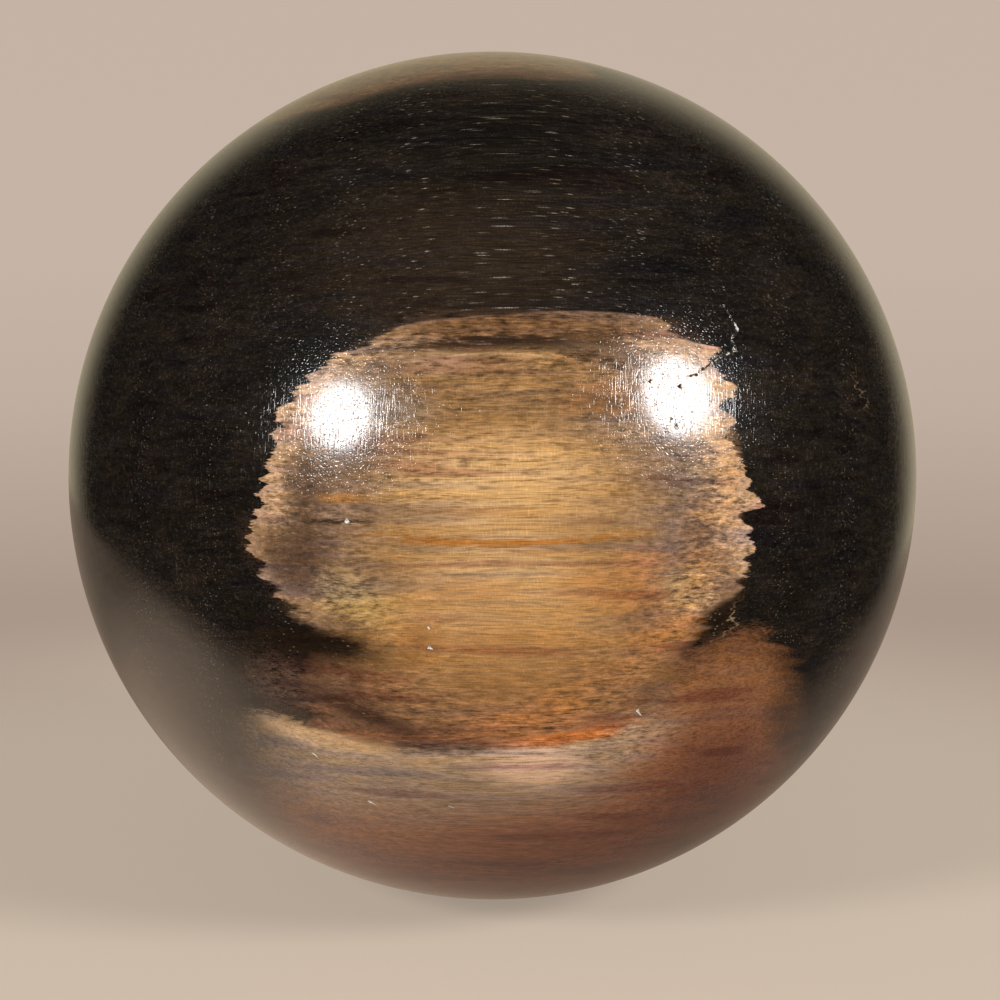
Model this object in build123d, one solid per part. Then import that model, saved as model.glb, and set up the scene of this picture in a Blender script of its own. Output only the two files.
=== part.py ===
from build123d import *
import math
import os

# A polished ball of petrified wood: one solid piece of stone, ground round by hand and buffed to a gloss.
# The origin is the ball's centre. +Z is up, -Y is the front, which shows the tan oval, and the grain runs along X.
# The polish left a crooked fissure and a scatter of small pits open. They are sunk into the round surface.

# Driving sizes, in millimetres
BALL_DIAMETER = 95.0
FISSURE_WIDTH = 0.42
FISSURE_DEPTH = 0.36
PIT_WIDTH = 0.75
PIT_DEPTH = 0.22
CUT_OVERRUN = 0.4
PIT_SIDES = 3
PIT_FLOOR_SHARE = 0.35  # of the mouth's width

BALL_RADIUS = BALL_DIAMETER / 2
SEAM_TURN = 90  # degrees about the upright axis, which takes the seam from the right to the back

# Places on the ball are two turns in degrees from the middle of the front: right of it, then up from the equator.
# The third number is the share of the full width and depth that the fissure has at that corner.
FISSURE_CORNER_SHARES = [
    (36.6, 31.8, 0.4),
    (37.7, 28.3, 0.9),
    (36.0, 27.2, 0.8),
    (36.1, 25.8, 1.0),
    (33.2, 25.0, 0.75),
    (30.5, 24.1, 0.9),
    (28.9, 23.3, 0.8),
    (27.2, 23.2, 0.5),
]

# Each pit, with the shares of the full pit width that it has along and across its long way, and the turn of that way
# in degrees anticlockwise from level. The depth follows the share across.
PIT_SHARES = [
    (26.0, 22.0, 1.0, 0.8, -60),
    (24.6, 17.0, 1.2, 0.6, 90),
    (-18.4, 5.8, 1.1, 0.9, -20),
    (-7.9, -10.0, 1.2, 0.7, -30),
    (-26.4, -27.7, 2.1, 0.5, -50),
    (-19.4, -35.6, 2.4, 0.6, -42),
    (19.9, -20.0, 2.1, 0.6, -55),
]


def outward(turn_right: float, turn_up: float) -> Vector:
    """Unit vector from the ball's centre to a place on its surface."""
    across, rise = math.radians(turn_right), math.radians(turn_up)
    return Vector(
        math.sin(across) * math.cos(rise),
        -math.cos(across) * math.cos(rise),
        math.sin(rise),
    )


def fissure_section(place: Vector, along: Vector, share: float) -> Face:
    """V-shaped section of the fissure, open past the surface, square to the way it runs."""
    depth = FISSURE_DEPTH * share
    mouth = FISSURE_WIDTH * share
    top_width = mouth * (depth + CUT_OVERRUN) / depth
    across = along.cross(place)
    section = Plane(origin=place * BALL_RADIUS, x_dir=across, z_dir=along)
    outline = Polyline((0, -depth), (top_width / 2, CUT_OVERRUN), (-top_width / 2, CUT_OVERRUN), close=True)
    return section * make_face(outline)


def fissure() -> Part:
    """The open fissure as one solid that runs from corner to corner and thins out at both ends."""
    places = [outward(right, up) for right, up, _ in FISSURE_CORNER_SHARES]
    last = len(places) - 1
    sections = []
    for i, place in enumerate(places):
        run = places[min(i + 1, last)] - places[max(i - 1, 0)]
        along = (run - place * run.dot(place)).normalized()
        sections.append(fissure_section(place, along, FISSURE_CORNER_SHARES[i][2]))
    return loft(sections, ruled=True)


def pit(turn_right: float, turn_up: float, long_share: float, wide_share: float, tilt: float) -> Part:
    """A shallow pit where a chip came away: three sloping sides down to a small flat floor."""
    depth = PIT_DEPTH * wide_share
    place = outward(turn_right, turn_up)
    level = Vector(0, 0, 1).cross(place)
    floor = Plane(origin=place * (BALL_RADIUS - depth), x_dir=level, z_dir=place).rotated((0, 0, tilt))
    top_spread = PIT_FLOOR_SHARE + (1 - PIT_FLOOR_SHARE) * (depth + CUT_OVERRUN) / depth
    return loft(
        [
            floor * pit_outline(long_share * PIT_FLOOR_SHARE, wide_share * PIT_FLOOR_SHARE),
            floor.offset(depth + CUT_OVERRUN) * pit_outline(long_share * top_spread, wide_share * top_spread),
        ],
        ruled=True,
    )


def pit_outline(long_share: float, wide_share: float) -> Sketch:
    """A three-sided outline, stretched along its X axis."""
    turns = [2 * math.pi * i / PIT_SIDES for i in range(PIT_SIDES)]
    half_long, half_wide = PIT_WIDTH * long_share / 2, PIT_WIDTH * wide_share / 2
    return Polygon(*[(half_long * math.cos(turn), half_wide * math.sin(turn)) for turn in turns], align=None)


def petrified_wood_ball() -> Part:
    """The ball less its fissure and pits, with the seam of the round surface at the back."""
    ball = Rotation(0, 0, SEAM_TURN) * Sphere(BALL_RADIUS)
    pits = [pit(*place) for place in PIT_SHARES]
    return ball - [fissure(), *pits]


os.makedirs("parts", exist_ok=True)
export_step(petrified_wood_ball(), "parts/petrified_wood_ball.step")
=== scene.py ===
"""A polished ball of petrified wood, dressed around its CAD solid.

The ball is one piece of silicified wood. Its front shows a tan oval of grain in near black stone, and a
second pale zone lies under it. Everything is in metres in the frame of the solid: the ball's centre is the
origin, +Z is up, -Y is the front and the grain runs along X.
"""

import logging
import math
from collections.abc import Iterator
from dataclasses import dataclass, replace
from enum import Enum
from functools import partial

import bpy
import numpy as np
from bpy.types import Material, NodeSocket, NodeTree, Object, bpy_prop_collection
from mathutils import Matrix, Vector, noise


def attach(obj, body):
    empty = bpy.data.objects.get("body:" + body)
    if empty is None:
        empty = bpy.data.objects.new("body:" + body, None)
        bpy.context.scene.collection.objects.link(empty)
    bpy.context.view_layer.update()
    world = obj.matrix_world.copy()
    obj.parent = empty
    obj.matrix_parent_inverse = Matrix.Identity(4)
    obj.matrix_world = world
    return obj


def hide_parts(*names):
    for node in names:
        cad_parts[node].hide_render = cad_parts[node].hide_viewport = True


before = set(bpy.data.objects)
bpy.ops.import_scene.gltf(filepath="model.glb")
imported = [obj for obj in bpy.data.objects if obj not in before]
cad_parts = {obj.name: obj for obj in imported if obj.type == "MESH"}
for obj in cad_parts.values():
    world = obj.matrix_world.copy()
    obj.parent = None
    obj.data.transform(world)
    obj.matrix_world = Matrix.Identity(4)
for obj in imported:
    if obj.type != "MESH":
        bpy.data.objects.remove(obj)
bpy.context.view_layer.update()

log = logging.getLogger("petrified_wood_ball")

MM = 0.001
NODE_NAME = "petrified_wood_ball"
IMAGE_SIZE = 1000

# The photograph's camera looks down on the ball by this much, and the ball's pattern is laid out square to
# that view.
VIEW_ELEVATION = math.radians(12.0)
# The grain leans this far off the X axis, which sets the upright line where its fibres lie flat in the
# surface.
GRAIN_YAW = math.radians(2.2)

# Settings of a range node that starts and ends softly.
SMOOTH = {"interpolation_type": "SMOOTHSTEP"}

Ramp = tuple[tuple[float, str], ...]
Place = tuple[float, float, float]
Spots = tuple[Place, float]


class Stone(Enum):
    """Colours of the stone's stains and fillings, as sRGB hex values; the palest fills are partly painted
    glints.
    """

    BROWN_HAZE = "#29221d"
    GOLD_HAZE = "#8f734d"
    PORE_LIGHT = "#9a9188"
    PORE_DARK = "#4c3420"
    GOLD_CORE = "#c3a276"
    GREY = "#74665c"
    OLIVE = "#7c6d44"
    YELLOW = "#b89d6b"
    CREAM = "#c6aa8c"
    ORANGE = "#a86e2d"
    ORANGE_SOFT = "#a87845"
    BLOTCH = "#a8733f"
    RUST = "#b87140"
    RUST_SOFT = "#b0784b"
    MOTTLE = "#4a372b"
    CHOCOLATE = "#3f2d26"
    SOOT = "#211913"
    UMBER = "#5d4430"
    PLUM = "#56433b"
    TAN = "#af8b66"
    PINK = "#dabca8"
    CRACK_DARK = "#1b1613"
    # Pale crumbs in the broken stone: partly a painted glint.
    CRACK_LIGHT = "#e6ded2"
    # Near white fill of the pale pits: pale dust with a painted glint.
    CRUSHED_PALE = "#e0dcd6"


class Studio(Enum):
    """Colours of the floor, the backdrop and what the gloss mirrors, as sRGB hex values."""

    FLOOR = "#d5c4b2"
    MIRRORED_FLOOR = "#fbdcc0"
    MIRRORED_LEFT = "#b8ac90"
    MIRRORED_RIGHT = "#c0b296"
    ROOM_DARK = "#0b0a09"


def linear(colour: str) -> tuple[float, float, float, float]:
    """Turn an sRGB hex colour to linear light.

    Args:
        colour: Hex value such as "#d6ac76".

    Returns:
        Red, green and blue in linear light, and an alpha of 1.
    """
    shares = [int(colour[i:i + 2], 16) / 255 for i in (1, 3, 5)]
    red, green, blue = (s / 12.92 if s <= 0.04045 else ((s + 0.055) / 1.055) ** 2.4 for s in shares)
    return red, green, blue, 1.0


def add_node(tree: NodeTree, kind: str, feeds: dict, **settings: object) -> NodeSocket:
    """Add a node to a tree with its settings and links.

    Args:
        tree: Tree that takes the node.
        kind: Node type without its ShaderNode prefix.
        feeds: Input name or number to the socket that feeds it, or the value or named colour that it holds.
        **settings: Properties of the node, with stops for a colour ramp and points for a curve.

    Returns:
        The node's first live output.
    """
    node = tree.nodes.new("ShaderNode" + kind)
    stops, points = settings.pop("stops", ()), settings.pop("points", ())
    for name, value in settings.items():
        setattr(node, name, value)
    for i, (place, colour) in enumerate(stops[:1] + stops[-1:] + stops[1:-1]):
        element = node.color_ramp.elements[i] if i < 2 else node.color_ramp.elements.new(place)
        element.position, element.color = place, linear(colour)
    for i, place in enumerate(points[:1] + points[-1:] + points[1:-1]):
        curve = node.mapping.curves[0]
        point = curve.points[i] if i < 2 else curve.points.new(*place)
        point.location, point.handle_type = place, "AUTO"
    if points:
        node.mapping.update()
    live = [socket for socket in node.inputs if socket.enabled]
    for key, feed in feeds.items():
        socket = live[key] if isinstance(key, int) else next(s for s in live if s.name == key)
        if isinstance(feed, NodeSocket):
            tree.links.new(feed, socket)
        else:
            socket.default_value = linear(feed.value) if isinstance(feed, Enum) else feed
    return next((socket for socket in node.outputs if socket.enabled), None)


def places(items: bpy_prop_collection, name: str) -> np.ndarray:
    """Read where the points or faces of a mesh are.

    Args:
        items: The points or faces.
        name: Their property that holds a place.

    Returns:
        One place to a row, in metres.
    """
    flat = np.empty(len(items) * 3)
    items.foreach_get(name, flat)
    return flat.reshape(-1, 3)


@dataclass(frozen=True)
class Fade:
    """A change from a low to a high share while a value goes from a start to an end."""

    start: float
    end: float
    low: float = 0.0
    high: float = 1.0

    def of(self, value: NodeSocket) -> dict:
        """What a range node takes in to make this change."""
        ends = {"From Min": self.start, "From Max": self.end, "To Min": self.low, "To Max": self.high}
        return {"Value": value, **ends}


@dataclass(frozen=True)
class Stain:
    """A soft patch or streak of mineral colour, in millimetres right of and above the middle of the view.

    A tilt turns it anticlockwise, in degrees. A bow lifts both ends of a streak by that much, so that it
    follows the growth rings.
    """

    right: float
    up: float
    half_width: float
    half_height: float
    colour: Stone
    strength: float
    tilt: float = 0.0
    bow: float = 0.0

    def toward(self, radius: float) -> float:
        """How far the stain's middle stands towards the viewer on a ball of that radius."""
        return math.sqrt(max(radius**2 - self.right**2 - self.up**2, 0))


@dataclass(frozen=True)
class PaintedPatches:
    """Broad soft stains and a patch of painted shade on the mesh, as a colour with its cover, which the grain
    breaks up.
    """

    LAYER = "painted_patches"

    ball_radius: float = 47.5
    depth: float = 20.0
    full: float = 0.2
    none: float = 1.5
    patches: tuple[Stain, ...] = (
        Stain(0.0, -0.2, 10.5, 4.3, Stone.GOLD_CORE, 0.85),
        Stain(1.3, -10.1, 9.2, 2.6, Stone.GOLD_CORE, 0.35),
        Stain(-11.0, 7.2, 5.1, 2.4, Stone.GREY, 0.95),
        Stain(-7.5, 9.0, 3.5, 1.6, Stone.UMBER, 0.4),
        Stain(12.0, 7.7, 5.0, 1.8, Stone.BLOTCH, 0.5),
        Stain(12.0, 7.7, 5.0, 1.8, Stone.UMBER, 0.75),
        Stain(-10.3, 13.4, 4.6, 1.3, Stone.CREAM, 0.2, tilt=20.0),
        Stain(-6.0, 11.6, 4.2, 1.1, Stone.CREAM, 0.5),
        Stain(-12.8, 12.6, 2.4, 1.2, Stone.UMBER, 0.3),
        Stain(1.0, 15.7, 10.5, 1.2, Stone.UMBER, 0.55),
        Stain(-5.8, 15.0, 2.4, 1.1, Stone.UMBER, 0.4),
        Stain(6.6, 15.8, 2.4, 1.0, Stone.UMBER, 0.4),
        Stain(11.2, 11.8, 4.0, 1.5, Stone.UMBER, 0.5),
        Stain(19.5, 13.9, 2.4, 1.3, Stone.UMBER, 0.4),
        Stain(15.5, 15.0, 4.5, 1.4, Stone.UMBER, 0.55),
        Stain(-2.3, -11.7, 6.1, 1.6, Stone.BLOTCH, 0.4),
        Stain(11.0, -11.2, 5.2, 2.3, Stone.BLOTCH, 0.5),
        Stain(15.2, -12.8, 4.2, 2.1, Stone.BLOTCH, 0.4),
        Stain(-7.4, -16.9, 2.6, 2.6, Stone.BLOTCH, 0.45),
        Stain(-14.7, -13.8, 5.2, 2.3, Stone.OLIVE, 0.5),
        Stain(-14.0, -12.5, 4.6, 2.4, Stone.YELLOW, 0.6, tilt=-25.0),
        Stain(-19.3, -0.4, 2.3, 4.6, Stone.MOTTLE, 0.75),
        Stain(-14.5, 0.9, 3.0, 2.5, Stone.MOTTLE, 0.3),
        Stain(-19.0, -7.6, 2.6, 3.4, Stone.MOTTLE, 0.75),
        Stain(-20.0, -4.6, 2.2, 1.8, Stone.MOTTLE, 0.35),
        Stain(-21.7, -9.0, 5.2, 2.6, Stone.MOTTLE, 0.9, tilt=-52.0),
        Stain(15.4, -8.8, 3.0, 2.0, Stone.RUST_SOFT, 0.5),
        Stain(20.0, -12.0, 2.4, 2.2, Stone.YELLOW, 0.5),
        Stain(19.5, -15.2, 2.4, 1.8, Stone.BLOTCH, 0.7),
        Stain(16.4, -17.2, 2.4, 1.8, Stone.BLOTCH, 0.4),
        Stain(1.6, -17.0, 7.0, 1.6, Stone.ORANGE_SOFT, 0.45),
        Stain(-7.6, -17.1, 2.2, 1.5, Stone.UMBER, 0.4),
        Stain(7.0, -23.4, 3.0, 1.3, Stone.BLOTCH, 0.5),
        Stain(21.4, -7.5, 2.2, 5.5, Stone.ORANGE_SOFT, 0.45),
        Stain(21.6, -6.6, 1.6, 2.6, Stone.MOTTLE, 0.4),
        Stain(20.3, -0.4, 1.9, 4.1, Stone.GREY, 0.45),
        Stain(24.4, -1.6, 1.2, 6.0, Stone.TAN, 0.8),
        Stain(24.4, -10.5, 1.6, 3.6, Stone.UMBER, 0.6),
        Stain(23.6, -15.0, 3.4, 1.5, Stone.SOOT, 0.95, tilt=55.0),
        Stain(18.0, -21.0, 4.2, 1.6, Stone.UMBER, 0.3, tilt=35.0),
        Stain(-16.6, -22.6, 8.6, 3.0, Stone.PLUM, 0.65, tilt=-24.0),
        Stain(-19.0, -17.3, 9.6, 2.2, Stone.SOOT, 1.0, tilt=-10.0),
        Stain(-21.5, -22.0, 4.2, 2.6, Stone.PLUM, 0.7, tilt=-20.0),
        Stain(-13.6, -24.6, 7.4, 1.0, Stone.CHOCOLATE, 1.0, tilt=-22.0),
        Stain(-0.5, -21.3, 6.0, 2.2, Stone.UMBER, 0.2),
        Stain(11.2, -21.0, 4.5, 2.2, Stone.BLOTCH, 0.35),
        Stain(3.4, -25.5, 6.8, 1.6, Stone.RUST_SOFT, 0.6),
        Stain(4.2, -30.2, 5.2, 2.3, Stone.PINK, 0.9),
        Stain(15.0, -28.2, 6.0, 2.2, Stone.PINK, 0.15, tilt=25.0),
        # Painted shade: dark at the lower right, near the edge of the ball.
        Stain(31.5, -26.5, 2.4, 3.6, Stone.CHOCOLATE, 0.6),
    )

    def paint(self, ball: Object) -> None:
        """Lay the patches over each other, in order, at each point of the mesh.

        Args:
            ball: The ball, in its place.
        """
        right, away, up = places(ball.data.vertices, "co").T / MM
        cos, sin = math.cos(VIEW_ELEVATION), math.sin(VIEW_ELEVATION)
        away, up = away * cos - up * sin, away * sin + up * cos
        colour, cover = np.zeros((len(up), 3)), np.zeros(len(up))
        for patch in self.patches:
            turn = math.radians(patch.tilt)
            across, rise = right - patch.right, up - patch.up
            along = (across * math.cos(turn) + rise * math.sin(turn)) / patch.half_width
            over = (rise * math.cos(turn) - across * math.sin(turn)) / patch.half_height
            over -= patch.bow / patch.half_height * along**2
            behind = (away + patch.toward(self.ball_radius)) / self.depth
            reach = np.sqrt(along**2 + over**2 + behind**2)
            share = np.clip((self.none - reach) / (self.none - self.full), 0, 1)
            laid = patch.strength * share * share * (3 - 2 * share)
            total = laid + cover * (1 - laid)
            part = np.divide(laid, total, out=np.zeros_like(laid), where=total > 0)[:, None]
            colour = colour * (1 - part) + np.array(linear(patch.colour.value)[:3]) * part
            cover = total
        layer = ball.data.attributes.new(self.LAYER, "FLOAT_COLOR", "POINT")
        layer.data.foreach_set("color", np.column_stack((colour, cover)).astype(np.float32).ravel())


@dataclass(frozen=True)
class Oval:
    """A place where the surface cuts down through pale growth rings.

    The turn is in degrees about the grain, from the front over the top to the oval's own front. The mirror
    is 1, or -1 for an oval that is the other way round. The spread is its size against the outline, and the
    shade its lightness. The shift is how far to the left it lies, in millimetres.
    """

    turn: float
    mirror: float
    spread: float
    shade: float
    shift: float


@dataclass
class Grain:
    """What the stone's zones share: its node tree, places in millimetres and noise from 0 to 1.

    The view place is square to the view. The frayed place is the same, shifted fibre by fibre along the
    grain. The streaks are a few tenths of a millimetre thick, the fibres finer, the layers thicker, the
    mottle short and rough and the clouds broad. The ticks stand across the grain. The ragged field is
    streaks, fibres and mottle together, from about -1 to 1. The vessels have a mask and a random number for
    each.
    """

    tree: NodeTree
    view: NodeSocket
    frayed: NodeSocket
    streaks: NodeSocket
    fibres: NodeSocket
    layers: NodeSocket
    mottle: NodeSocket
    clouds: NodeSocket
    ticks: NodeSocket
    ragged: NodeSocket
    vessels: NodeSocket
    vessel_draw: NodeSocket


@dataclass(frozen=True)
class Zone:
    """A soft zone of the stone: its middle square to the view and its half sizes, in millimetres."""

    middle: Place
    half_sizes: Place

    def reach(self, grain: Grain) -> NodeSocket:
        """How far the surface is from the zone's middle, in shares of the half sizes.

        Args:
            grain: The shared sockets.

        Returns:
            The distance, 1 where the zone ends.
        """
        add = partial(add_node, grain.tree)
        local = add(
            "Mapping", {"Vector": grain.view, "Location": self.middle, "Scale": self.half_sizes},
            vector_type="TEXTURE",
        )
        return add("VectorMath", {0: local}, operation="LENGTH")


@dataclass(frozen=True)
class PolishedPetrifiedWood:
    """Silicified wood, ground round and buffed with fine oxide.

    Quartz took the place of the wood cell by cell, so the eye sees wood grain under a hard gloss: long
    streaks where the fibres lie flat in the surface, dots where they stand on end, and frayed zone edges
    where mineral colour ran along the fibres. The polish is not perfect, with hair scratches and open pores
    that sparkle beside the lamps. Sizes are in millimetres.
    """

    ball_radius: float = 47.5
    refraction: float = 1.54
    roughness: float = 0.13

    # Broken stone in the fissure and the pits: dull, with shiny crumbs whose pale colour is partly a painted
    # glint.
    broken_roughness: float = 0.8
    crumb_roughness: float = 0.3
    crumb_spacing: float = 0.32
    crumb_fade: Fade = Fade(0.55, 0.6)

    # Marks of the polish.
    scratch_spacing: float = 0.12
    scratch_length: float = 1.4
    scratch_depth: Fade = Fade(0.58, 0.8, 0.0, -0.006)
    pore_spacing: float = 0.2
    pore_depth: Fade = Fade(0.6, 0.85, 0.0, -0.011)

    # Noise of the grain: spots to the millimetre along, into and across it, then octaves of finer noise.
    clouds: Spots = ((0.05, 0.14, 0.2), 1.0)
    layers: Spots = ((0.03, 0.12, 0.5), 1.0)
    teeth: Spots = ((0.03, 0.12, 0.75), 1.0)
    streaks: Spots = ((0.04, 0.6, 2.0), 2.0)
    fibres: Spots = ((0.3, 3.0, 7.5), 1.0)
    ticks: Spots = ((6.5, 6.5, 1.2), 1.0)
    mottle: Spots = ((0.6, 1.3, 2.4), 3.0)
    octave_share: float = 0.7
    waviness: float = 1.2
    # How far teeth, streaks and fibres shift a zone's edge along the grain.
    fray: Place = (6.0, 1.8, 0.8)
    # The ragged field: what the mottle counts in its sum, the gain on the sum, and its middle after the gain.
    ragged_mottle: float = 1.5
    ragged_gain: float = 1.5
    ragged_middle: float = 2.62
    ragged_low: Fade = Fade(-31.0, -26.0, 0.3)

    # Vessels of the wood, which mineral filled.
    vessel_spacing: float = 0.34
    vessel_length: float = 7.5
    vessel_edge: Fade = Fade(0.25, 0.08)
    vessel_bands: Ramp = ((0.38, Stone.GOLD_HAZE.value), (0.5, Stone.PORE_LIGHT.value))
    vessel_beads: Fade = Fade(0.38, 0.55, 0.15)
    # How light stone has to be to have dark fillings, and how much fainter those are.
    dark_filled: Fade = Fade(0.03, 0.1)
    dark_faintness: float = 0.7
    # Towards the sides the vessels stand on end, and the fillings of a few show as faint dots: the strength,
    # and the least random number of a vessel that shows.
    vessel_strength: Fade = Fade(8.0, 20.0, 1.0, 0.7)
    vessel_least: Fade = Fade(8.0, 20.0, 0.1, 0.57)

    # Near black stone, with a brown haze over the oval and fine specks.
    dark_bands: Ramp = ((0.35, "#141210"), (0.5, "#1b1816"), (0.65, "#25201d"))
    haze: Zone = Zone((-5.0, -40.0, 22.0), (24.0, 60.0, 12.0))
    haze_fade: Fade = Fade(1.0, 0.2)
    speck_fade: Fade = Fade(1.1, 1.7, 0.0, 0.14)

    # Outline of the tan oval about its middle: degrees from the right, anticlockwise, and distance.
    oval_middle: tuple[float, float] = (0.76, -5.53)
    oval_outline: tuple[tuple[float, float], ...] = (
        (-180, 25.6), (-172, 24.8), (-165, 24.0), (-157, 23.2), (-150, 22.4), (-145, 24.4), (-139, 27.2),
        (-130, 27.4), (-122, 26.5), (-115, 25.0), (-103, 23.5), (-93, 22.8), (-85, 22.5), (-74, 23.1),
        (-62, 23.8), (-52, 24.0), (-44, 24.0), (-34, 23.2), (-28, 22.6), (-22, 23.2), (-15, 25.0), (-6, 25.8),
        (2, 26.2), (10, 26.2), (17, 25.8), (25, 26.6), (33, 27.7), (40, 28.8), (44, 28.2), (47, 27.2),
        (52, 27.3), (57, 26.3), (70, 23.9), (83, 22.5), (98, 22.1), (110, 22.7), (122, 23.4), (129, 23.8),
        (136, 24.8), (142, 24.5), (149, 25.2), (156, 25.6), (164, 25.2), (172, 25.3), (180, 25.6),
    )
    outline_span: float = 40.0
    # A size along Y so large that distances from the oval's middle are only right and up.
    flattening: float = 1e6
    ovals: tuple[Oval, ...] = (Oval(99.0, -1.0, 0.92, 0.53, 7.0), Oval(0.0, 1.0, 1.0, 1.0, 0.0))
    # An oval lies only on its own front of the ball, which starts here along Y.
    oval_front: Fade = Fade(-10.0, -18.0)
    # The oval's edge is crisp above its middle and soft under it.
    oval_crispness: Fade = Fade(1.0, -8.0, 5.0, 0.6)
    # Where the growth rings above take over from those below.
    oval_top: Fade = Fade(-4.0, 4.0)
    # The cream rim lies at both sides, and reaches further up than down.
    rim_lift: float = 0.25
    rim_sides: Fade = Fade(0.68, 0.92)
    # How far clouds and the ragged field push the growth rings out or in.
    cloud_drift: float = 0.3
    ragged_drift: float = 0.1
    # Growth rings from the oval's middle out to its edge: at the sides, above and below.
    side_bands: Ramp = (
        (0.0, "#b1926c"), (0.25, "#a4835c"), (0.45, "#937450"), (0.6, "#856c55"), (0.72, "#756154"),
        (0.8, "#776456"), (0.88, "#987e68"), (0.95, "#b7997f"), (1.0, "#b5977f"),
    )
    top_bands: Ramp = (
        (0.0, "#ab8c67"), (0.25, "#a3825b"), (0.45, "#91714d"), (0.6, "#7d6245"), (0.72, "#806446"),
        (0.8, "#8c6e4c"), (0.86, "#4f3a29"), (0.9, "#5a4330"), (0.95, "#70553d"), (1.0, "#755a43"),
    )
    low_bands: Ramp = (
        (0.0, "#b0926d"), (0.2, "#af8f67"), (0.45, "#ab875d"), (0.6, "#9e7a51"), (0.78, "#8a694a"),
        (0.92, "#826348"), (1.0, "#78553f"),
    )

    # Upper edge of the low zone: right and up.
    low_edge: tuple[tuple[float, float], ...] = (
        (-36, -25.0), (-28, -25.2), (-24.6, -25.4), (-21.3, -26.0), (-17.1, -27.2), (-13.0, -27.8),
        (-8.1, -28.2), (-4.7, -28.0), (2.9, -27.2), (7.2, -26.6), (11.2, -25.3), (14.4, -23.7), (18.0, -21.0),
        (20.5, -18.2), (23.7, -16.1), (26.4, -15.6), (29.0, -16.3), (31.0, -18.3), (33, -21.5), (36, -26),
    )
    low_span: float = 72.0
    low_floor: float = -30.0
    low_height: float = 20.0
    # How ragged that edge is, how softly it starts, and where the zone ends at the left and at the right.
    low_fray: float = 0.7
    low_fade: Fade = Fade(-0.7, 1.4)
    low_ends: tuple[Fade, ...] = (Fade(-29.0, -16.0), Fade(35.0, 27.5))
    # Colours of the low zone from its edge down to the rim depth: at the left, and in the lobe at the right.
    # Both darken towards the bottom of the ball with painted shade.
    rim_depth: float = 24.0
    left_rim: Ramp = (
        (0.0, "#a59076"), (0.06, "#ac957c"), (0.12, "#988573"), (0.25, "#907d70"), (0.42, "#805b49"),
        (0.6, "#694234"), (1.0, "#4d2d23"),
    )
    lobe_rim: Ramp = (
        (0.0, "#593e2c"), (0.06, "#674731"), (0.2, "#835d41"), (0.38, "#7e5843"), (0.6, "#643f33"),
        (1.0, "#45291e"),
    )
    lobe_side: Fade = Fade(10.0, 22.0)

    # How much of a painted patch shows, by the ragged field.
    patch_contrast: float = 2.0
    patch_cover: float = 1.1
    veins: tuple[Stain, ...] = (
        Stain(2.6, 13.7, 12.0, 0.9, Stone.SOOT, 0.6, tilt=-5.0, bow=-1.8),
        Stain(0.8, 12.5, 8.5, 0.14, Stone.CREAM, 0.35, bow=-0.9),
        Stain(39.3, 8.7, 3.2, 0.07, Stone.CREAM, 0.3, tilt=-68.0, bow=0.4),
        Stain(0.6, -6.9, 14.5, 0.5, Stone.ORANGE, 0.9, bow=1.1),
        Stain(5.9, -7.9, 4.6, 0.3, Stone.ORANGE_SOFT, 0.6, bow=0.5),
        Stain(-2.3, -3.7, 8.2, 0.6, Stone.ORANGE_SOFT, 0.4),
        Stain(-15.1, -2.3, 3.1, 0.6, Stone.ORANGE_SOFT, 0.7),
        Stain(-15.6, -4.7, 4.2, 0.35, Stone.SOOT, 0.75),
        Stain(-18.8, -16.9, 6.2, 1.3, Stone.SOOT, 0.95, tilt=-14.0),
        Stain(24.4, -15.2, 2.9, 0.1, Stone.CREAM, 0.3, tilt=60.0),
        Stain(-17.0, -27.5, 8.6, 1.2, Stone.CREAM, 0.85, tilt=-14.0, bow=0.3),
        Stain(7.2, -27.3, 8.4, 0.8, Stone.RUST, 0.85, tilt=9.0, bow=0.7),
    )
    # How deep a vein reaches into the ball, and how ragged and how soft its edge is.
    vein_depth: float = 20.0
    vein_fray: float = 0.7
    vein_edge: Fade = Fade(1.25, 0.35)

    # What each layer of growth multiplies the colour by: brown, plain, ochre, plain and grey wood.
    layer_tints: Ramp = (
        (0.32, "#d8c4c0"), (0.42, "#faf4ee"), (0.5, "#fff3d8"), (0.58, "#faf4ee"), (0.7, "#d8d8e4"),
    )
    # Lightness along the grain: of the streaks, of the finer fibres and of the rays across it.
    streak_gain: float = 0.7
    streak_base: float = 0.67
    fibre_gain: Fade = Fade(0.3, 0.6, 0.68, 1.18)
    ray_gain: Fade = Fade(0.52, 0.75, 0.0, 0.3)
    # The palest stone is the smoothest.
    plain_fade: Fade = Fade(0.4, 0.55, 0.0, 0.7)
    # Mottle is faint in the calm wood in the middle of the oval, in very dark and very light stone, low down
    # on the ball and in the smooth brown lobe at the lower right.
    mottle_middle: float = 0.48
    calm: Zone = Zone((2.0, -47.0, -8.5), (16.0, 60.0, 14.5))
    calm_fade: Fade = Fade(0.5, 1.2, 0.3, 3.5)
    dark_smooth: Fade = Fade(0.02, 0.05, 0.3)
    light_smooth: Fade = Fade(0.36, 0.26, 0.3)
    low_smooth: Fade = Fade(-31.0, -27.0, 0.3)
    lobe: Zone = Zone((25.0, -35.0, -24.0), (9.0, 60.0, 8.0))
    lobe_smooth: Fade = Fade(0.8, 1.2, 0.3)

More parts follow.
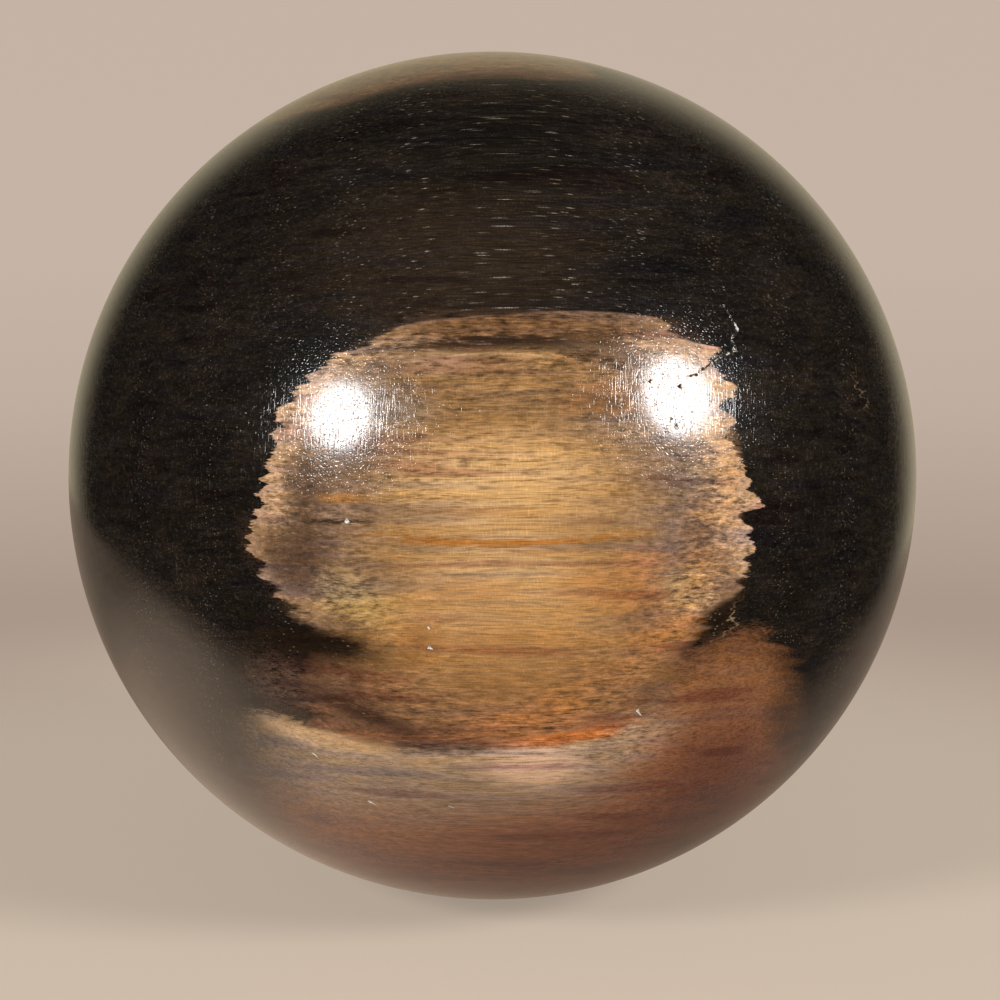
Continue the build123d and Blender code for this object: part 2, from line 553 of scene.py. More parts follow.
    def make(self) -> Material:
        """Build the stone's material.

        Returns:
            The finished material.
        """
        material = bpy.data.materials.new("petrified_wood_polished")
        material.use_nodes = True
        tree = material.node_tree
        tree.nodes.clear()
        add = partial(add_node, tree)
        grain = self.grain(tree)
        colour = self.dark_stone(grain)
        colour = self.low_zone(grain, colour)
        for oval in self.ovals:
            colour = self.cut_oval(grain, oval, colour)
        colour = self.break_up_patches(grain, colour)
        for vein in self.veins:
            colour = self.lay(grain, vein, colour)
        colour = self.draw_grain(grain, colour)
        colour = self.fill_vessels(grain, colour)
        broken, pale = (
            add("Attribute", {}, attribute_name=name).node.outputs["Fac"]
            for name in (PetrifiedWoodBall.BROKEN, PetrifiedWoodBall.PALE)
        )
        # Pale crumbs on dark broken stone; the pale is partly a painted glint.
        crumbs = add("TexNoise", {"Vector": grain.view, "Scale": 1 / self.crumb_spacing, "Detail": 0.0})
        crumbs = add("MapRange", self.crumb_fade.of(crumbs))
        crack = add(
            "Mix", {"Factor": crumbs, "A": Stone.CRACK_DARK, "B": Stone.CRACK_LIGHT}, data_type="RGBA",
        )
        # Pale pits are filled near white: pale dust with a painted glint.
        crack = add("Mix", {"Factor": pale, "A": crack, "B": Stone.CRUSHED_PALE}, data_type="RGBA")
        colour = add("Mix", {"Factor": broken, "A": colour, "B": crack}, data_type="RGBA")
        dull = add(
            "Mix", {"Factor": crumbs, "A": self.broken_roughness, "B": self.crumb_roughness},
            data_type="FLOAT",
        )
        roughness = add("Mix", {"Factor": broken, "A": self.roughness, "B": dull}, data_type="FLOAT")
        shader = add(
            "BsdfPrincipled",
            {
                "Base Color": colour, "Roughness": roughness, "IOR": self.refraction,
                "Normal": self.polish_marks(grain),
            },
        )
        add("OutputMaterial", {"Surface": shader})
        return material

    def grain(self, tree: NodeTree) -> Grain:
        """Set up the places and the noise that the zones share.

        Args:
            tree: The stone's node tree.

        Returns:
            The shared sockets.
        """
        add = partial(add_node, tree)
        place = add("TexCoord", {}).node.outputs["Object"]
        view = add("Mapping", {"Vector": place, "Rotation": (VIEW_ELEVATION, 0, 0), "Scale": (1 / MM,) * 3})
        along = add("Mapping", {"Vector": view, "Rotation": (0, 0, -GRAIN_YAW)})
        fields = []
        for spots, octaves in (
            self.clouds, self.layers, self.teeth, self.streaks, self.fibres, self.ticks, self.mottle,
        ):
            spread = add("Mapping", {"Vector": along, "Scale": spots})
            field = add(
                "TexNoise",
                {"Vector": spread, "Scale": 1.0, "Detail": octaves, "Roughness": self.octave_share},
            )
            fields.append(field)
            # The broad clouds, which come first, make the finer grain wavy.
            if len(fields) == 1:
                wave = add("Math", {0: field, 1: self.waviness}, operation="MULTIPLY")
                wave = add("CombineXYZ", {"Z": wave})
                along = add("VectorMath", {0: along, 1: wave}, operation="ADD")
        clouds, layers, teeth, streaks, fibres, ticks, mottle = fields
        shift = -sum(self.fray) / 2
        for field, most in zip((teeth, streaks, fibres), self.fray):
            shift = add("Math", {0: field, 1: most, 2: shift}, operation="MULTIPLY_ADD")
        step = add("CombineXYZ", {"X": shift})
        frayed = add("VectorMath", {0: view, 1: step}, operation="ADD")
        total = add("Math", {0: streaks, 1: fibres}, operation="ADD")
        total = add("Math", {0: mottle, 1: self.ragged_mottle, 2: total}, operation="MULTIPLY_ADD")
        ragged = add(
            "Math", {0: total, 1: self.ragged_gain, 2: -self.ragged_middle},
            operation="MULTIPLY_ADD",
        )
        low = add("SeparateXYZ", {"Vector": view}).node.outputs["Z"]
        low = add("MapRange", self.ragged_low.of(low))
        ragged = add("Math", {0: ragged, 1: low}, operation="MULTIPLY")
        close = 1 / self.vessel_spacing
        spread = add("Mapping", {"Vector": along, "Scale": (1 / self.vessel_length, close, close)})
        cells = add("TexVoronoi", {"Vector": spread, "Scale": 1.0}, feature="F1")
        vessels = add("MapRange", self.vessel_edge.of(cells), **SMOOTH)
        draw = add("SeparateColor", {"Color": cells.node.outputs["Color"]})
        return Grain(
            tree, view, frayed, streaks, fibres, layers, mottle, clouds, ticks, ragged, vessels, draw,
        )

    def dark_stone(self, grain: Grain) -> NodeSocket:
        """Near black stone with a brown haze above the oval and fine pale specks.

        Args:
            grain: The shared sockets.

        Returns:
            The colour.
        """
        add = partial(add_node, grain.tree)
        bands = add("Mix", {"Factor": 0.5, "A": grain.streaks, "B": grain.clouds}, data_type="FLOAT")
        colour = add("ValToRGB", {"Fac": bands}, stops=self.dark_bands)
        haze = add("MapRange", self.haze_fade.of(self.haze.reach(grain)), **SMOOTH)
        colour = add("Mix", {"Factor": haze, "A": colour, "B": Stone.BROWN_HAZE}, data_type="RGBA")
        fleck = add("Mix", {"Factor": haze, "A": Stone.PORE_LIGHT, "B": Stone.GOLD_HAZE}, data_type="RGBA")
        speck = add("Math", {0: grain.fibres, 1: grain.ticks}, operation="ADD")
        speck = add("MapRange", self.speck_fade.of(speck))
        return add("Mix", {"Factor": speck, "A": colour, "B": fleck}, data_type="RGBA")

    def low_zone(self, grain: Grain, under: NodeSocket) -> NodeSocket:
        """Lay in the mauve-brown zone under the oval, with a pale rim, darkening downwards with painted
        shade.

        Args:
            grain: The shared sockets.
            under: Colour of the stone around the zone.

        Returns:
            The colour with the zone.
        """
        add = partial(add_node, grain.tree)
        axes = add("SeparateXYZ", {"Vector": grain.frayed}).node.outputs
        across = add("Math", {0: axes["X"], 1: 1 / self.low_span, 2: 0.5}, operation="MULTIPLY_ADD")
        points = tuple(
            (right / self.low_span + 0.5, (up - self.low_floor) / self.low_height)
            for right, up in self.low_edge
        )
        edge = add("FloatCurve", {"Value": across}, points=points)
        height = add("Math", {0: edge, 1: self.low_height, 2: self.low_floor}, operation="MULTIPLY_ADD")
        depth = add("Math", {0: height, 1: axes["Z"]}, operation="SUBTRACT")
        depth = add("Math", {0: grain.ragged, 1: self.low_fray, 2: depth}, operation="MULTIPLY_ADD")
        mask = add("MapRange", self.low_fade.of(depth), **SMOOTH)
        whole = add("SeparateXYZ", {"Vector": grain.view}).node.outputs["X"]
        for end in self.low_ends:
            fade = add("MapRange", end.of(whole), **SMOOTH)
            mask = add("Math", {0: mask, 1: fade}, operation="MULTIPLY")
        share = add("Math", {0: depth, 1: self.rim_depth}, operation="DIVIDE")
        # Down from the pale rim the colours darken with painted shade.
        left = add("ValToRGB", {"Fac": share}, stops=self.left_rim)
        lobe = add("ValToRGB", {"Fac": share}, stops=self.lobe_rim)
        side = add("MapRange", self.lobe_side.of(axes["X"]), **SMOOTH)
        zone = add("Mix", {"Factor": side, "A": left, "B": lobe}, data_type="RGBA")
        return add("Mix", {"Factor": mask, "A": under, "B": zone}, data_type="RGBA")

    def cut_oval(self, grain: Grain, oval: Oval, under: NodeSocket) -> NodeSocket:
        """Lay in one tan oval, with its growth rings.

        Args:
            grain: The shared sockets.
            oval: Which oval.
            under: Colour of the stone around the oval.

        Returns:
            The colour with the oval.
        """
        add = partial(add_node, grain.tree)
        own = add(
            "Mapping",
            {
                "Vector": grain.frayed, "Location": (oval.mirror * oval.shift, 0, 0),
                "Rotation": (math.radians(oval.turn), 0, 0), "Scale": (oval.mirror, 1, 1),
            },
        )
        front = add("SeparateXYZ", {"Vector": own}).node.outputs["Y"]
        facing = add("MapRange", self.oval_front.of(front), **SMOOTH)
        middle = (self.oval_middle[0], 0.0, self.oval_middle[1])
        sizes = (oval.spread, self.flattening, oval.spread)
        flat = add("Mapping", {"Vector": own, "Location": middle, "Scale": sizes}, vector_type="TEXTURE")
        reach = add("VectorMath", {0: flat}, operation="LENGTH")
        axes = add("SeparateXYZ", {"Vector": flat}).node.outputs
        angle = add("Math", {0: axes["Z"], 1: axes["X"]}, operation="ARCTAN2")
        around = add("Math", {0: angle, 1: 0.5 / math.pi, 2: 0.5}, operation="MULTIPLY_ADD")
        points = tuple((turn / 360 + 0.5, out / self.outline_span) for turn, out in self.oval_outline)
        edge = add("FloatCurve", {"Value": around}, points=points)
        edge = add("Math", {0: edge, 1: self.outline_span}, operation="MULTIPLY")
        inside = add("Math", {0: edge, 1: reach}, operation="SUBTRACT")
        crisp = add("MapRange", self.oval_crispness.of(axes["Z"]))
        mask = add("Math", {0: inside, 1: crisp, 2: 0.5}, operation="MULTIPLY_ADD", use_clamp=True)
        mask = add("Math", {0: mask, 1: facing}, operation="MULTIPLY")

        share = add("Math", {0: reach, 1: edge}, operation="DIVIDE")
        drift = -self.cloud_drift / 2
        for field, most in ((grain.clouds, self.cloud_drift), (grain.ragged, self.ragged_drift)):
            drift = add("Math", {0: field, 1: most, 2: drift}, operation="MULTIPLY_ADD")
        share = add("Math", {0: drift, 1: share, 2: share}, operation="MULTIPLY_ADD")
        low, top, side = (
            add("ValToRGB", {"Fac": share}, stops=stops)
            for stops in (self.low_bands, self.top_bands, self.side_bands)
        )
        above = add("MapRange", self.oval_top.of(axes["Z"]), **SMOOTH)
        colour = add("Mix", {"Factor": above, "A": low, "B": top}, data_type="RGBA")
        level = add("Math", {0: axes["X"]}, operation="ABSOLUTE")
        level = add("Math", {0: axes["Z"], 1: self.rim_lift, 2: level}, operation="MULTIPLY_ADD")
        level = add("Math", {0: level, 1: reach}, operation="DIVIDE")
        sideways = add("MapRange", self.rim_sides.of(level), **SMOOTH)
        colour = add("Mix", {"Factor": sideways, "A": colour, "B": side}, data_type="RGBA")
        colour = add("VectorMath", {0: colour, "Scale": oval.shade}, operation="SCALE")
        return add("Mix", {"Factor": mask, "A": under, "B": colour}, data_type="RGBA")

    def break_up_patches(self, grain: Grain, under: NodeSocket) -> NodeSocket:
        """Lay the painted patches over the colour so far, broken up along the grain.

        Args:
            grain: The shared sockets.
            under: Colour under the patches.

        Returns:
            The colour with the patches.
        """
        add = partial(add_node, grain.tree)
        paint = add("Attribute", {}, attribute_name=PaintedPatches.LAYER).node.outputs
        gain = add(
            "Math", {0: grain.ragged, 1: self.patch_contrast, 2: self.patch_cover},
            operation="MULTIPLY_ADD", use_clamp=True,
        )
        cover = add("Math", {0: paint["Alpha"], 1: gain}, operation="MULTIPLY")
        return add("Mix", {"Factor": cover, "A": under, "B": paint["Color"]}, data_type="RGBA")

    def lay(self, grain: Grain, vein: Stain, under: NodeSocket) -> NodeSocket:
        """Lay one thin vein over the colour so far.

        Args:
            grain: The shared sockets.
            vein: The vein.
            under: Colour under the vein.

        Returns:
            The colour with the vein.
        """
        add = partial(add_node, grain.tree)
        local = add(
            "Mapping",
            {
                "Vector": grain.frayed,
                "Location": (vein.right, -vein.toward(self.ball_radius), vein.up),
                "Rotation": (0, -math.radians(vein.tilt), 0),
                "Scale": (vein.half_width, self.vein_depth, vein.half_height),
            },
            vector_type="TEXTURE",
        )
        if vein.bow:
            axes = add("SeparateXYZ", {"Vector": local}).node.outputs
            lift = add("Math", {0: axes["X"], 1: axes["X"]}, operation="MULTIPLY")
            lift = add("Math", {0: lift, 1: -vein.bow / vein.half_height}, operation="MULTIPLY")
            step = add("CombineXYZ", {"Z": lift})
            local = add("VectorMath", {0: local, 1: step}, operation="ADD")
        reach = add("VectorMath", {0: local}, operation="LENGTH")
        reach = add("Math", {0: grain.ragged, 1: self.vein_fray, 2: reach}, operation="MULTIPLY_ADD")
        edge = replace(self.vein_edge, high=vein.strength)
        mask = add("MapRange", edge.of(reach), **SMOOTH)
        return add("Mix", {"Factor": mask, "A": under, "B": vein.colour}, data_type="RGBA")

    def draw_grain(self, grain: Grain, colour: NodeSocket) -> NodeSocket:
        """Tint the colour layer by layer, and lighten and darken it along streaks, fibres and rays.

        Args:
            grain: The shared sockets.
            colour: Colour of the zones and stains.

        Returns:
            The colour with its grain.
        """
        add = partial(add_node, grain.tree)
        tint = add("ValToRGB", {"Fac": grain.layers}, stops=self.layer_tints)
        colour = add("VectorMath", {0: colour, 1: tint}, operation="MULTIPLY")
        streak = add(
            "Math", {0: grain.streaks, 1: self.streak_gain, 2: self.streak_base},
            operation="MULTIPLY_ADD",
        )
        line = add("MapRange", self.fibre_gain.of(grain.fibres))
        ray = add("MapRange", self.ray_gain.of(grain.ticks))
        gain = add("Math", {0: streak, 1: line, 2: ray}, operation="MULTIPLY_ADD")
        light = add("RGBToBW", {"Color": colour})
        plain = add("MapRange", self.plain_fade.of(light))
        gain = add("Mix", {"Factor": plain, "A": gain, "B": 1.0}, data_type="FLOAT")
        rough = add("MapRange", self.calm_fade.of(self.calm.reach(grain)))
        low = add("SeparateXYZ", {"Vector": grain.view}).node.outputs["Z"]
        for smooth, value in (
            (self.dark_smooth, light), (self.light_smooth, light), (self.low_smooth, low),
            (self.lobe_smooth, self.lobe.reach(grain)),
        ):
            share = add("MapRange", smooth.of(value))
            rough = add("Math", {0: rough, 1: share}, operation="MULTIPLY")
        spot = add("Math", {0: grain.mottle, 1: self.mottle_middle}, operation="SUBTRACT")
        spot = add("Math", {0: spot, 1: rough, 2: 1.0}, operation="MULTIPLY_ADD")
        gain = add("Math", {0: gain, 1: spot}, operation="MULTIPLY")
        return add("VectorMath", {0: colour, "Scale": gain}, operation="SCALE")

    def fill_vessels(self, grain: Grain, colour: NodeSocket) -> NodeSocket:
        """Fill the vessels: pale mineral in the dark stone and, more faintly, dark mineral in the pale stone.

        Args:
            grain: The shared sockets.
            colour: Colour of the stone around them.

        Returns:
            The colour with its vessels.
        """
        add = partial(add_node, grain.tree)
        light = add("RGBToBW", {"Color": colour})
        pale = add("MapRange", self.dark_filled.of(light))
        bands = add("ValToRGB", {"Fac": grain.layers}, stops=self.vessel_bands)
        fill = add("Mix", {"Factor": pale, "A": bands, "B": Stone.PORE_DARK}, data_type="RGBA")
        beads = add("MapRange", self.vessel_beads.of(grain.ticks))
        faint = add("Math", {0: pale, 1: -self.dark_faintness, 2: 1.0}, operation="MULTIPLY_ADD")
        across = add("SeparateXYZ", {"Vector": grain.view}).node.outputs["X"]
        across = add("Math", {0: across}, operation="ABSOLUTE")
        strength, least = (
            add("MapRange", fade.of(across)) for fade in (self.vessel_strength, self.vessel_least)
        )
        shown = add("MapRange", {"Value": grain.vessel_draw, "From Min": least, "From Max": 1.0})
        mask = grain.vessels
        for share in (shown, beads, faint, strength):
            mask = add("Math", {0: mask, 1: share}, operation="MULTIPLY")
        return add("Mix", {"Factor": mask, "A": colour, "B": fill}, data_type="RGBA")

    def polish_marks(self, grain: Grain) -> NodeSocket:
        """Relief that the polish left: hair scratches across the grain and open pores.

        Args:
            grain: The shared sockets.

        Returns:
            The surface normal.
        """
        add = partial(add_node, grain.tree)
        hairs = (1 / self.scratch_spacing, 1 / self.scratch_length, 1 / self.scratch_length)
        pores = (1 / self.pore_spacing,) * 3
        heights = []
        for spots, depth in ((hairs, self.scratch_depth), (pores, self.pore_depth)):
            spread = add("Mapping", {"Vector": grain.view, "Scale": spots})
            mark = add("TexNoise", {"Vector": spread, "Scale": 1.0, "Detail": 0.0})
            heights.append(add("MapRange", depth.of(mark)))
        height = add("Math", dict(enumerate(heights)), operation="ADD")
        return add("Bump", {"Strength": 1.0, "Distance": MM, "Height": height})


@dataclass(frozen=True)
class Chip:
    """A small pit, placed in degrees right of the front and up from the equator.

    Its shares of the full pit width are along and across its long way, which is turned by the tilt in degrees
    anticlockwise from level. A pale pit is filled near white: pale dust with a painted glint.
    """

    right: float
    up: float
    long_share: float
    wide_share: float
    tilt: float
    pale: bool = False


@dataclass
class PetrifiedWoodBall:
    """The ball: a fine round mesh with its fissure and pits sunk in.

    Sizes are in metres and places in degrees.
    """

    BROKEN = "broken_surface"
    PALE = "pale_chips"

    radius: float = 47.5 * MM
    subdivisions: int = 7
    # Near the fissure and the pits the mesh is cut finer, twice: how near, and by how many cuts.
    refinements: tuple[tuple[float, int], ...] = ((1.6 * MM, 3), (1.1 * MM, 2))
    fissure_width: float = 0.42 * MM
    fissure_depth: float = 0.36 * MM
    crumb_size: float = 0.35 * MM
    crumble: float = 1.6
    pit_width: float = 0.75 * MM
    pit_depth: float = 0.22 * MM
    pit_sides: int = 3
    pit_floor_share: float = 0.35
    # Share of a pit's depth at which its surface is all broken stone.
    broken_from: float = 0.07
    # Right of the front, up from the equator, and the share of the full size there.
    fissure: tuple[tuple[float, float, float], ...] = (
        (36.6, 31.8, 0.4), (37.7, 28.3, 0.9), (36.0, 27.2, 0.8), (36.1, 25.8, 1.0),
        (33.2, 25.0, 0.75), (30.5, 24.1, 0.9), (28.9, 23.3, 0.8), (27.2, 23.2, 0.5),
    )
    pits: tuple[Chip, ...] = (
        Chip(26.0, 22.0, 1.0, 0.8, -60), Chip(24.6, 17.0, 1.2, 0.6, 90),
        Chip(-18.4, 5.8, 1.1, 0.9, -20, True), Chip(-7.9, -10.0, 1.2, 0.7, -30, True),
        Chip(-26.4, -27.7, 2.1, 0.5, -50, True), Chip(-19.4, -35.6, 2.4, 0.6, -42, True),
        Chip(19.9, -20.0, 2.1, 0.6, -55, True),
        Chip(21.7, 23.0, 0.7, 0.5, 40), Chip(24.0, 18.1, 0.6, 0.5, -10), Chip(23.1, 16.4, 0.7, 0.6, 20),
        Chip(-8.0, -7.3, 0.9, 0.5, -60, True), Chip(-6.6, -35.4, 1.4, 0.5, -25, True),
    )

    def outward(self, right: float, up: float) -> np.ndarray:
        """Point on the round surface at two turns in degrees from the middle of the front.

        Args:
            right: Turn to the right.
            up: Turn upwards.

        Returns:
            The point in metres.
        """
        across, rise = math.radians(right), math.radians(up)
        way = (math.sin(across) * math.cos(rise), -math.cos(across) * math.cos(rise), math.sin(rise))
        return np.array(way) * self.radius

    def fissure_runs(self, points: np.ndarray) -> Iterator[tuple[np.ndarray, np.ndarray]]:
        """Measure points against each straight run of the fissure in turn.

        Args:
            points: Points near the round surface, one to a row.

        Returns:
            For each run, the share of the full size beside each point and the distance to it in metres.
        """
        corners = [(self.outward(right, up), share) for right, up, share in self.fissure]
        for (start, first), (end, last) in zip(corners, corners[1:]):
            run = end - start
            along = np.clip((points - start) @ run / (run @ run), 0, 1)
            gap = np.linalg.norm(points - start - along[:, None] * run, axis=1)
            yield first + (last - first) * along, gap

    def fissure_depths(self, points: np.ndarray) -> np.ndarray:
        """How far each point of the surface is sunk by the fissure, a V-shaped groove from corner to corner.

        Args:
            points: Points on the round surface, one to a row.

        Returns:
            Depth in metres for each point, 0 where the surface is whole.
        """
        deepest = np.zeros(len(points))
        for share, gap in self.fissure_runs(points):
            for i in np.flatnonzero(gap < self.fissure_width):
                crumble = noise.noise(Vector(points[i]) / self.crumb_size)
                share[i] *= 1 - self.crumble * abs(crumble)
            sunk = self.fissure_depth * share * np.clip(1 - gap / (self.fissure_width * share / 2), 0, 1)
            deepest = np.maximum(deepest, sunk)
        return deepest

    def pit_depths(self, points: np.ndarray, pits: list[Chip]) -> np.ndarray:
        """How far each point of the surface is sunk by some pits, each three-sided with a small flat floor.

        Args:
            points: Points on the round surface, one to a row.
            pits: Which pits.

        Returns:
            Depth in metres for each point, 0 where the surface is whole.
        """
        deepest = np.zeros(len(points))
        sides = (np.arange(self.pit_sides) + 0.5) * 2 * math.pi / self.pit_sides
        for pit in pits:
            centre = self.outward(pit.right, pit.up)
            out = centre / self.radius
            level = np.cross((0, 0, 1), out)
            level /= np.linalg.norm(level)
            rise = np.cross(out, level)
            cos, sin = math.cos(math.radians(pit.tilt)), math.sin(math.radians(pit.tilt))
            offset = points - centre
            along = offset @ (level * cos + rise * sin) / (self.pit_width * pit.long_share / 2)
            over = offset @ (rise * cos - level * sin) / (self.pit_width * pit.wide_share / 2)
            gap = (np.outer(along, np.cos(sides)) + np.outer(over, np.sin(sides))).max(axis=1)
            gap = np.where(points @ out > 0, gap / math.cos(math.pi / self.pit_sides), np.inf)
            slope = np.clip((1 - gap) / (1 - self.pit_floor_share), 0, 1)
            deepest = np.maximum(deepest, self.pit_depth * pit.wide_share * slope)
        return deepest

    def build(self) -> Object:
        """Model the ball.

        Returns:
            The finished mesh object.
        """
        bpy.ops.object.select_all(action="DESELECT")
        bpy.ops.mesh.primitive_ico_sphere_add(subdivisions=self.subdivisions, radius=self.radius)
        ball = bpy.context.object
        ball.name = "petrified_wood_ball_polished"
        for reach, cuts in self.refinements:
            self.select_near_blemishes(ball, reach)
            bpy.ops.object.mode_set(mode="EDIT")
            bpy.ops.mesh.subdivide(number_cuts=cuts)
            bpy.ops.object.mode_set(mode="OBJECT")
        self.apply(ball, "CAST", cast_type="SPHERE", factor=1.0, size=self.radius, use_radius_as_size=False)
        PaintedPatches().paint(ball)

        points = places(ball.data.vertices, "co")
        pale_depth = self.pit_depths(points, [pit for pit in self.pits if pit.pale])
        depth = np.maximum(self.fissure_depths(points), self.pit_depths(points, list(self.pits)))
        deepest = max(self.fissure_depth, self.pit_depth)
        group = ball.vertex_groups.new(name="sunk")
        for i in np.flatnonzero(depth):
            group.add([int(i)], depth[i] / deepest, "REPLACE")
        self.apply(
            ball, "DISPLACE", direction="NORMAL", strength=-deepest, mid_level=0.0, vertex_group=group.name,
        )
        for name, sunk in ((self.BROKEN, depth), (self.PALE, pale_depth)):
            mask = ball.data.attributes.new(name, "FLOAT", "POINT")
            shares = np.clip(sunk / (self.broken_from * self.pit_depth), 0, 1)
            mask.data.foreach_set("value", shares.astype(np.float32))
        bpy.ops.object.shade_smooth()
        log.info("%s: %d faces", ball.name, len(ball.data.polygons))
        return ball

    def select_near_blemishes(self, ball: Object, reach: float) -> None:
        """Select the faces that lie within reach of the fissure or a pit.

        Args:
            ball: The ball, in object mode.
            reach: Distance in metres.
        """
        centres = places(ball.data.polygons, "center")
        near = np.zeros(len(centres), bool)
        for _, gap in self.fissure_runs(centres):
            near |= gap < reach
        for pit in self.pits:
            near |= np.linalg.norm(centres - self.outward(pit.right, pit.up), axis=1) < reach
        ball.data.vertices.foreach_set("select", np.zeros(len(ball.data.vertices), bool))
        ball.data.edges.foreach_set("select", np.zeros(len(ball.data.edges), bool))
        ball.data.polygons.foreach_set("select", near)

    def apply(self, ball: Object, kind: str, **settings: object) -> None:
        """Add a modifier to the ball and apply it.

        Args:
            ball: The ball.
            kind: Modifier type.
            **settings: Properties of the modifier.
        """
        modifier = ball.modifiers.new(kind.lower(), kind)
        for name, value in settings.items():
            setattr(modifier, name, value)
        bpy.ops.object.modifier_apply(modifier=modifier.name)

    def dress(self, ball: Object) -> None:
        """Give the ball its finish and its place in the frame.

        Args:
            ball: The ball.
        """
        ball.data.materials.append(PolishedPetrifiedWood().make())
        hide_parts(NODE_NAME)
        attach(ball, "root")


@dataclass(frozen=True)
class Lamp:
    """A round soft lamp: the way to it square to the view, and its width as seen from the ball."""

    name: str
    way: Place
    width: float
    radiance: float


@dataclass(frozen=True)
class MatteBoard:
    """Pale matte board. For the ball's gloss it glows, a painted pool of light that is brightest at the front
    left.

    The camera sees it fade into the backdrop away from the ball, and the mirrored part ends along a wide soft
    arc. Sizes are in metres.
    """

    evenness: float = 0.5
    seen: Fade = Fade(0.07, 0.14)
    # The painted pool of light: its strength by the distance from its middle.
    glow: Fade = Fade(0.1, 0.0, 0.3, 1.25)
    glow_middle: tuple[float, float] = (-0.08, -0.03)
    arc: Fade = Fade(0.153, 0.123)
    arc_middle: tuple[float, float] = (-0.03, 0.09)

    def make(self) -> Material:
        """Build the board's material.

        Returns:
            The finished material.
        """
        material = bpy.data.materials.new("floor_matte_board")
        material.use_nodes = True
        tree = material.node_tree
        tree.nodes.clear()
        add = partial(add_node, tree)
        place = add("TexCoord", {}).node.outputs["Object"]
        flat = add("VectorMath", {0: place, 1: (1, 1, 0)}, operation="MULTIPLY")
        shares = []
        for middle, fade in (
            ((0, 0), self.seen), (self.glow_middle, self.glow), (self.arc_middle, self.arc),
        ):
            reach = add("VectorMath", {0: flat, 1: (*middle, 0)}, operation="DISTANCE")
            shares.append(add("MapRange", fade.of(reach), **SMOOTH))
        away, glow, arc = shares
        rays = add("LightPath", {}).node.outputs
        gone = add("Math", {0: away, 1: rays["Is Camera Ray"]}, operation="MULTIPLY")
        even = add("Math", {0: rays["Is Camera Ray"], 1: self.evenness}, operation="MULTIPLY")
        matte = add("BsdfDiffuse", {"Color": Studio.FLOOR})
        plain = add("Emission", {"Color": Studio.FLOOR})
        # Painted light: the glow is seen only by glossy rays.
        lit = add("Emission", {"Color": Studio.MIRRORED_FLOOR, "Strength": glow})
        clear = add("BsdfTransparent", {})
        lit = add("MixShader", {0: arc, 1: clear, 2: lit})
        shader = add("MixShader", {0: even, 1: matte, 2: plain})
        shader = add("MixShader", {0: rays["Is Glossy Ray"], 1: shader, 2: lit})
        shader = add("MixShader", {0: gone, 1: shader, 2: clear})
        add("OutputMaterial", {"Surface": shader})
        return material


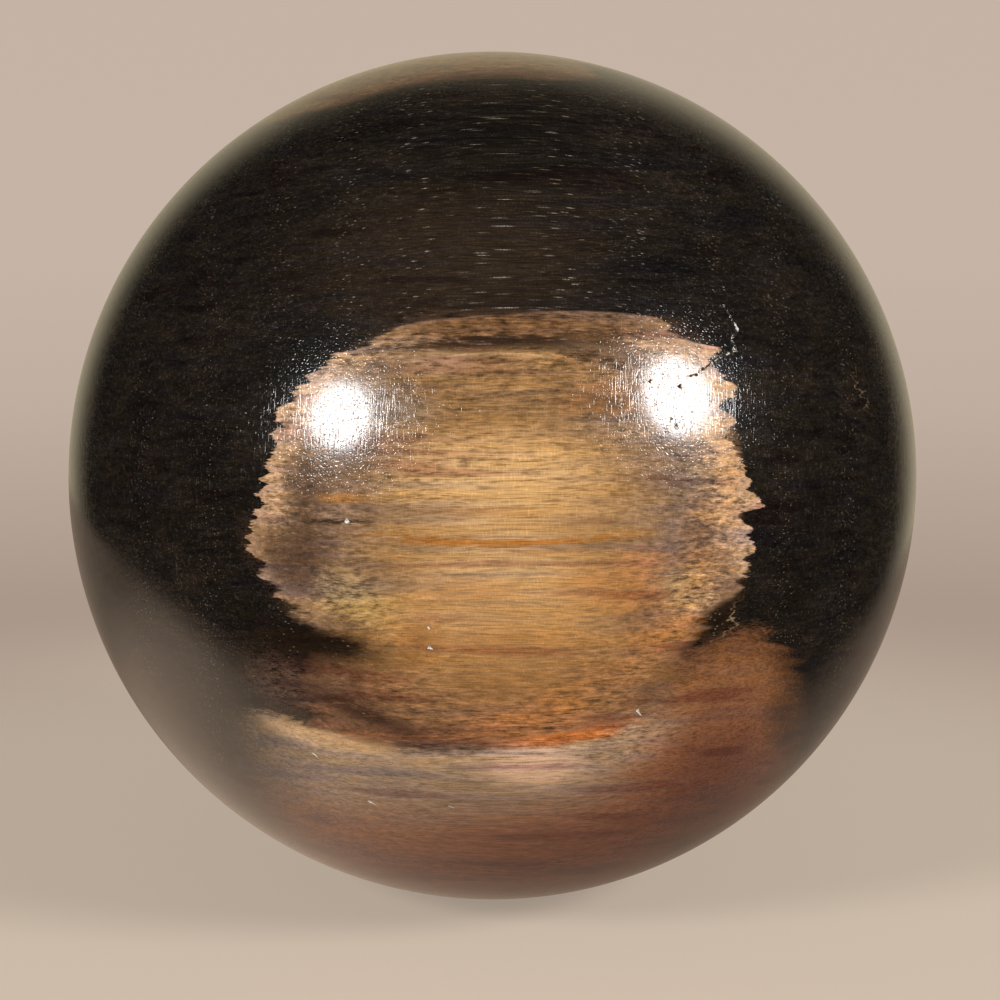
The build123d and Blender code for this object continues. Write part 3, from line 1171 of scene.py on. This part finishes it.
@dataclass
class StudioSet:
    """The pale floor, the plain backdrop, two soft round lamps and the camera. Sizes are in metres."""

    ball_radius: float = 47.5 * MM
    camera_distance: float = 0.5
    camera_nearest: float = 0.01
    sensor_millimetres: float = 36.0
    focal_pixels: float = 4442.97
    ball_centre: tuple[float, float] = (492.5, 475.7)
    lamp_distance: float = 1.2
    floor_size: float = 0.8
    fill: float = 0.25
    # The pale card behind the ball, which only the gloss mirrors: half sizes as shares of the way there, its
    # soft edge, and where its colour changes from left to right.
    card_half_width: float = 0.58
    card_half_height: float = 0.75
    card_edge: Fade = Fade(1.18, 0.66)
    card_right: Fade = Fade(-0.4, 0.3)
    lamps: tuple[Lamp, ...] = (
        Lamp("lamp_left", (-0.630, -0.737, 0.248), math.radians(15.5), 39.0),
        Lamp("lamp_right", (0.7387, -0.5984, 0.3155), math.radians(18), 34.5),
    )
    # Rise of the line of sight, from straight down to level, against the backdrop's colour.
    backdrop: Ramp = (
        (0.66, "#dccbb9"), (0.6875, "#d5c4b2"), (0.73, "#b7a597"), (0.765, "#a99789"), (0.809, "#c0aea0"),
        (0.84, "#c6b4a6"), (1.0, "#c4b2a4"),
    )

    def turned(self, way: Place) -> Vector:
        """Turn a way square to the view into the ball's own frame.

        Args:
            way: Right, away and up, as the camera sees them.

        Returns:
            The same way along X, Y and Z.
        """
        right, away, up = way
        cos, sin = math.cos(VIEW_ELEVATION), math.sin(VIEW_ELEVATION)
        return Vector((right, away * cos + up * sin, up * cos - away * sin))

    def build(self) -> None:
        """Set up the whole studio."""
        self.floor()
        self.world()
        for lamp in self.lamps:
            self.hang(lamp)
        self.camera()

    def floor(self) -> None:
        """Lay the pale board that the ball stands on."""
        bpy.ops.object.select_all(action="DESELECT")
        bpy.ops.mesh.primitive_plane_add(size=self.floor_size, location=(0, 0, -self.ball_radius))
        board = bpy.context.object
        board.name = "floor"
        bpy.ops.object.transform_apply(location=True)
        board.data.materials.append(MatteBoard().make())
        log.info("floor: %.2f m square", self.floor_size)

    def world(self) -> None:
        """Give the camera a pale backdrop, the gloss a pale card in a dark room and the ball an even fill."""
        world = bpy.data.worlds.new("studio")
        bpy.context.scene.world = world
        world.use_nodes = True
        tree = world.node_tree
        tree.nodes.clear()
        add = partial(add_node, tree)
        way = add("TexCoord", {}).node.outputs["Generated"]
        rise = add("SeparateXYZ", {"Vector": way}).node.outputs["Z"]
        rise = add("Math", {0: rise, 1: 1.0}, operation="ADD")
        seen = add("ValToRGB", {"Fac": rise}, stops=self.backdrop)
        view = add("Mapping", {"Vector": way, "Rotation": (VIEW_ELEVATION, 0, 0)})
        axes = add("SeparateXYZ", {"Vector": view}).node.outputs
        sizes = (1 / self.card_half_width, 0, 1 / self.card_half_height)
        card = add("Mapping", {"Vector": view, "Scale": sizes})
        card = add("VectorMath", {0: card}, operation="LENGTH")
        card = add("MapRange", self.card_edge.of(card), **SMOOTH)
        behind = add("Math", {0: axes["Y"], 1: 0.0}, operation="GREATER_THAN")
        card = add("Math", {0: card, 1: behind}, operation="MULTIPLY")
        side = add("MapRange", self.card_right.of(axes["X"]))
        pale = add(
            "Mix", {"Factor": side, "A": Studio.MIRRORED_LEFT, "B": Studio.MIRRORED_RIGHT},
            data_type="RGBA",
        )
        gloss = add("Mix", {"Factor": card, "A": Studio.ROOM_DARK, "B": pale}, data_type="RGBA")
        rays = add("LightPath", {}).node.outputs
        fill = add("Background", {"Color": Studio.FLOOR, "Strength": self.fill})
        mirrored = add("Background", {"Color": gloss})
        backdrop = add("Background", {"Color": seen})
        shader = add("MixShader", {0: rays["Is Glossy Ray"], 1: fill, 2: mirrored})
        shader = add("MixShader", {0: rays["Is Camera Ray"], 1: shader, 2: backdrop})
        add("OutputWorld", {"Surface": shader})

    def hang(self, lamp: Lamp) -> None:
        """Hang one lamp so that it faces the ball.

        Args:
            lamp: The lamp.
        """
        light = bpy.data.lights.new(lamp.name, "AREA")
        light.shape = "DISK"
        light.size = 2 * self.lamp_distance * math.tan(lamp.width / 2)
        # A disc's power is its radiance times its area times pi.
        light.energy = lamp.radiance * math.pi * math.pi * (light.size / 2) ** 2
        holder = bpy.data.objects.new(lamp.name, light)
        bpy.context.scene.collection.objects.link(holder)
        way = self.turned(lamp.way).normalized()
        holder.location = way * self.lamp_distance
        holder.rotation_euler = way.to_track_quat("Z", "Y").to_euler()
        holder.visible_camera = False
        log.info("%s: %.2f m wide, %.1f W", lamp.name, light.size, light.energy)

    def camera(self) -> None:
        """Set the camera where the photograph was taken from."""
        data = bpy.data.cameras.new("camera")
        data.sensor_width = self.sensor_millimetres
        data.lens = self.focal_pixels * data.sensor_width / IMAGE_SIZE
        data.clip_start = self.camera_nearest
        holder = bpy.data.objects.new("camera", data)
        bpy.context.scene.collection.objects.link(holder)
        holder.location = self.turned((0, -self.camera_distance, 0))
        column, row = self.ball_centre
        aim = self.turned((IMAGE_SIZE / 2 - column, self.focal_pixels, row - IMAGE_SIZE / 2))
        holder.rotation_euler = aim.to_track_quat("-Z", "Y").to_euler()
        bpy.context.scene.camera = holder


def main() -> None:
    """Build the ball and the studio."""
    logging.basicConfig(level=logging.INFO, format="%(name)s: %(message)s")
    bpy.context.scene.view_settings.view_transform = "Standard"
    ball = PetrifiedWoodBall()
    ball.dress(ball.build())
    StudioSet().build()


if __name__ == "__main__":
    main()
